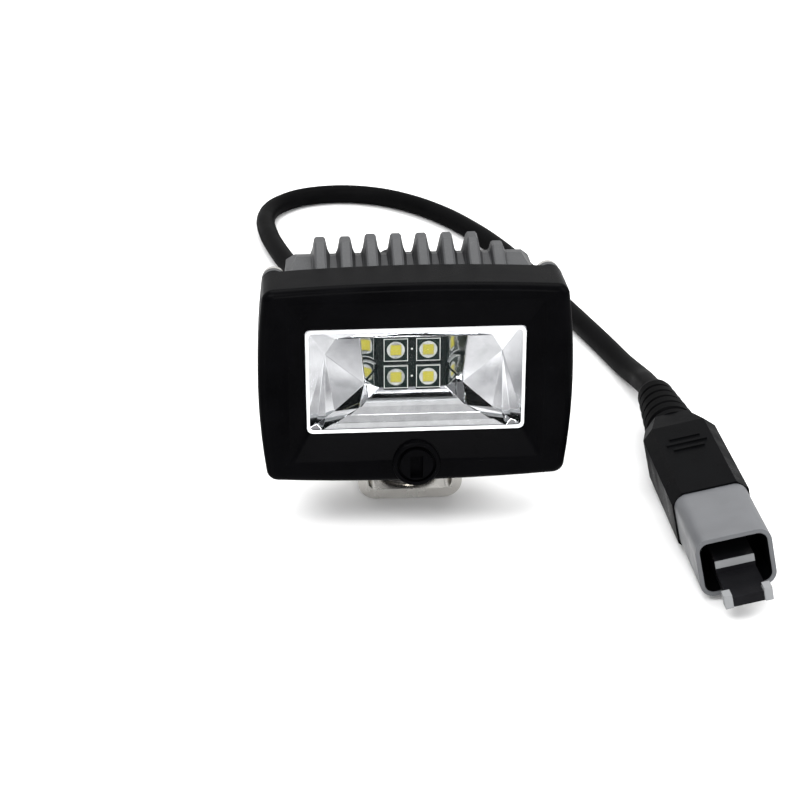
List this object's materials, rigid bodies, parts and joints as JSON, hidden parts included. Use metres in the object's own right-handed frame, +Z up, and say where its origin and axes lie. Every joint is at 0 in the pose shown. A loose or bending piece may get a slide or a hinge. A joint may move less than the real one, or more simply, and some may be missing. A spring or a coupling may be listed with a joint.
{
  "type": "fog light",
  "caption": "Compact rectangular LED fog light with a finned housing on a tilting U bracket, and a sealed plug on a short lead.",
  "frame": {"origin": "centre of the bracket's underside, on the axis of the bolt that clamps it to the panel", "axes": "+Z up from the mounting surface, the lamp looks along -Y, +X is to the right as seen from in front of the lamp; the tilt axis is along X"},
  "size_m": [0.1173, 0.3146, 0.0895],
  "materials": {
    "cast_grey": "satin grey powder coat on cast aluminium",
    "bezel_black": "semi-gloss black coat on cast aluminium",
    "clear_lens": "clear polished",
    "chrome_reflector": "vacuum metallised plastic",
    "board_green": "dark solder mask",
    "led_white": "white ceramic",
    "led_dome": "clear silicone",
    "phosphor": "yellow phosphor layer",
    "thermal_grey": "soft filled pad",
    "chip_black": "moulded epoxy",
    "capacitor_tan": "ceramic",
    "wire_red": "insulated wire",
    "rubber_black": "matt black rubber",
    "plastic_black": "moulded black plastic",
    "plug_grey": "light grey moulded plastic",
    "stainless": "brushed stainless steel",
    "nylon_white": "nylon ring",
    "contact_metal": "nickel plated"
  },
  "bodies": {
    "panel_clamp": {"panel_washer": "stainless", "panel_nut": "stainless", "panel_nut_insert": "nylon_white"},
    "bracket": {"mount_bracket": "stainless", "carriage_bolt": "stainless", "pivot_screw": "stainless", "pivot_nut": "stainless", "pivot_nut_insert": "nylon_white", "lead_cable": "rubber_black", "plug_boot": "rubber_black", "plug_body": "plastic_black", "plug_shell": "plug_grey", "plug_pins": "contact_metal"},
    "wedge": {"plug_wedge": "plug_grey"},
    "lamp": {"heatsink_housing": "cast_grey", "front_bezel": "bezel_black", "slot_plug": "bezel_black", "lens": "clear_lens", "lens_seal": "rubber_black", "reflector": "chrome_reflector", "led_board": "board_green", "led_packages": "led_white", "led_phosphors": "phosphor", "led_domes": "led_dome", "led_board_screws": "stainless", "thermal_pad": "thermal_grey", "driver_board": "board_green", "driver_inductor": "chip_black", "driver_capacitors": "capacitor_tan", "driver_chips": "chip_black", "led_wires": "wire_red", "supply_wires": "wire_red", "bezel_screws": "stainless", "housing_seal": "rubber_black", "breather_plug": "plastic_black", "pivot_sleeve": "stainless", "cable_gland": "plastic_black", "gland_nut": "plastic_black", "cable_relief": "rubber_black"}
  },
  "joints": [
    {"name": "aim_swivel", "type": "hinge", "parent": "panel_clamp", "child": "bracket", "pos_m": [0, 0, 0], "axis": [0, 0, 1], "range_deg": [-180, 180]},
    {"name": "lamp_tilt", "type": "hinge", "parent": "bracket", "child": "lamp", "pos_m": [0, 0, 0.021], "axis": [-1, 0, 0], "range_deg": [-20, 45], "deforming": ["lead_cable"]},
    {"name": "wedge_pull", "type": "slide", "parent": "bracket", "child": "wedge", "axis": [0, -1, 0], "range_m": [0, 0.01]}
  ]
}
